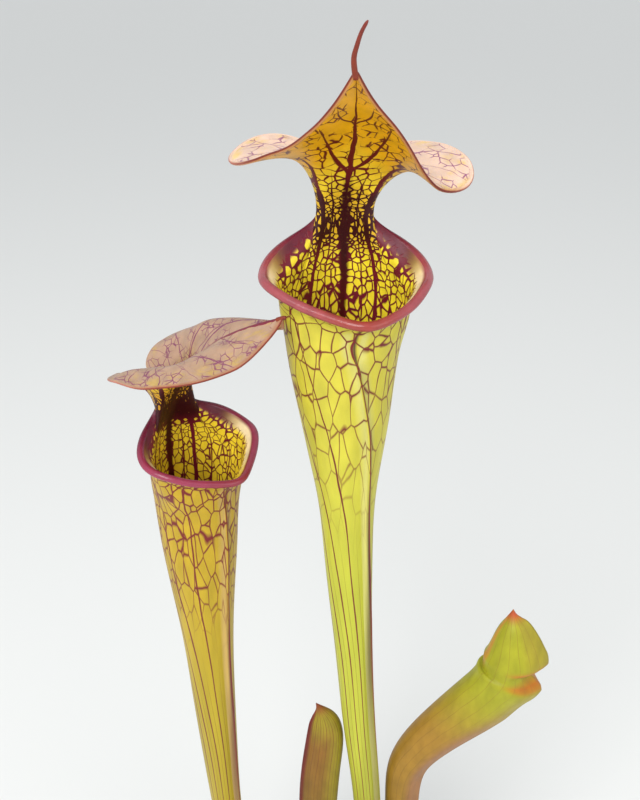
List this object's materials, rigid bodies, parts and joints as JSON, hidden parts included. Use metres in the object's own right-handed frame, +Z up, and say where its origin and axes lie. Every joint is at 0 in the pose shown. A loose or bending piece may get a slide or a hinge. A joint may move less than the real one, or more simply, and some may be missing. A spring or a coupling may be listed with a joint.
{
  "type": "potted pitcher plant",
  "caption": "Trumpet pitcher plant with open hooded pitchers and unopened leaves, growing from a rhizome in peat in a plain square pot.",
  "frame": {"origin": "centre of the pot's underside, on the surface the pot stands on", "axes": "+Z up, the pitcher mouths open towards -Y and the left pitcher towards -Y and +X, +X to the right in the picture"},
  "size_m": [0.1287, 0.09, 0.4406],
  "materials": {
    "pot_plastic": "satin",
    "peat": "rough",
    "rhizome": "rough",
    "leaf_green": "satin",
    "leaf_gold": "satin",
    "leaf_young": "satin",
    "leaf_bud": "satin"
  },
  "bodies": {
    "root": {"pot": "pot_plastic", "soil": "peat", "rhizome": "rhizome", "pitcher_tall": "leaf_green", "pitcher_left": "leaf_gold", "pitcher_young": "leaf_young", "pitcher_bud": "leaf_bud"}
  },
  "joints": []
}
